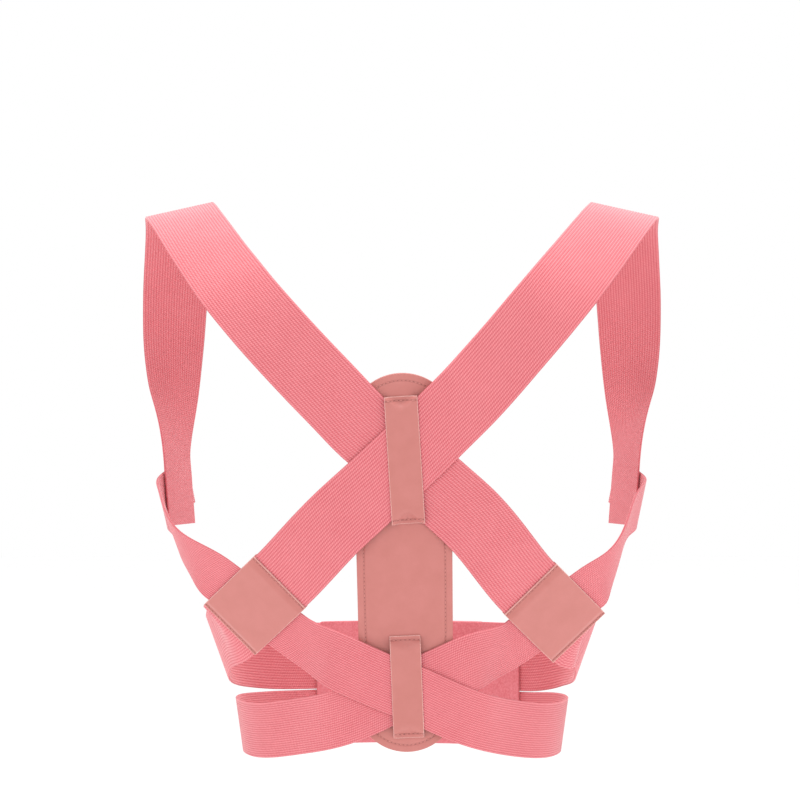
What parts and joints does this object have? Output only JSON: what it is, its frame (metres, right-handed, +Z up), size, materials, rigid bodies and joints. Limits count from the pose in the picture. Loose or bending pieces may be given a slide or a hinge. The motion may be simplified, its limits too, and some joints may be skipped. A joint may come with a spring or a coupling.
{
  "type": "back brace",
  "caption": "Back brace of crossed elastic straps with a stiffened leather-look spine panel, keepers, patches and a hook-and-loop front closure.",
  "frame": {"origin": "on the wearer's axis, at the middle of the waist band's height, in the middle of the waist loop", "axes": "+Z up along the wearer's spine, +X to the wearer's right, +Y to the wearer's front"},
  "size_m": [0.3704, 0.2038, 0.3872],
  "materials": {
    "ribbed_elastic": "ribbed woven elastic webbing, salmon pink",
    "rose_leather": "smooth fine-grained leather-look sheet, dusty rose",
    "thread": "polyester sewing thread",
    "foam": "closed-cell foam sheet",
    "stiffener": "flexible polypropylene stay",
    "lining": "knitted lining",
    "closure_fabric": "laminated stretch fabric",
    "loop_pile": "brushed loop pile",
    "hook_tape": "moulded nylon hook tape"
  },
  "bodies": {
    "root": {"spine_panel_cover": "rose_leather", "spine_panel_foam": "foam", "spine_panel_stiffener": "stiffener", "spine_panel_lining": "lining", "spine_panel_edge_stitching": "thread", "upper_keeper": "rose_leather", "lower_keeper": "rose_leather", "upper_keeper_stitching": "thread", "lower_keeper_stitching": "thread", "shoulder_strap_left": "ribbed_elastic", "shoulder_strap_right": "ribbed_elastic", "side_strap_left": "ribbed_elastic", "side_strap_right": "ribbed_elastic", "patch_left": "rose_leather", "patch_right": "rose_leather", "patch_backing_left": "rose_leather", "patch_backing_right": "rose_leather", "patch_stitching_left": "thread", "patch_stitching_right": "thread", "armpit_stitching_left": "thread", "armpit_stitching_right": "thread"},
    "left_wing": {"upper_front_band_left": "ribbed_elastic", "waist_front_band_left": "ribbed_elastic", "closure_panel_left": "closure_fabric", "band_end_stitching_left": "thread"},
    "right_wing": {"upper_front_band_right": "ribbed_elastic", "waist_front_band_right": "ribbed_elastic", "closure_panel_right": "closure_fabric", "closure_loop_pad": "loop_pile", "band_end_stitching_right": "thread"},
    "closure_flap": {"closure_flap": "closure_fabric", "closure_hook_tape": "hook_tape", "hook_tape_stitching": "thread"}
  },
  "joints": [
    {"name": "left_wing_swing", "type": "hinge", "parent": "root", "child": "left_wing", "pos_m": [-0.13961, 0.01, 0.077], "axis": [-0.2552, 0, 0.9669], "range_deg": [0, 100]},
    {"name": "right_wing_swing", "type": "hinge", "parent": "root", "child": "right_wing", "pos_m": [0.13961, 0.01, 0.077], "axis": [-0.2552, 0, -0.9669], "range_deg": [0, 100]},
    {"name": "closure_peel", "type": "hinge", "parent": "left_wing", "child": "closure_flap", "pos_m": [-0.0015, 0.093, 0.0226], "axis": [0, 0, 1], "range_deg": [0, 110]}
  ],
  "couplings": [
    {"joint": "right_wing_swing", "follows": "left_wing_swing", "ratio": 1}
  ]
}
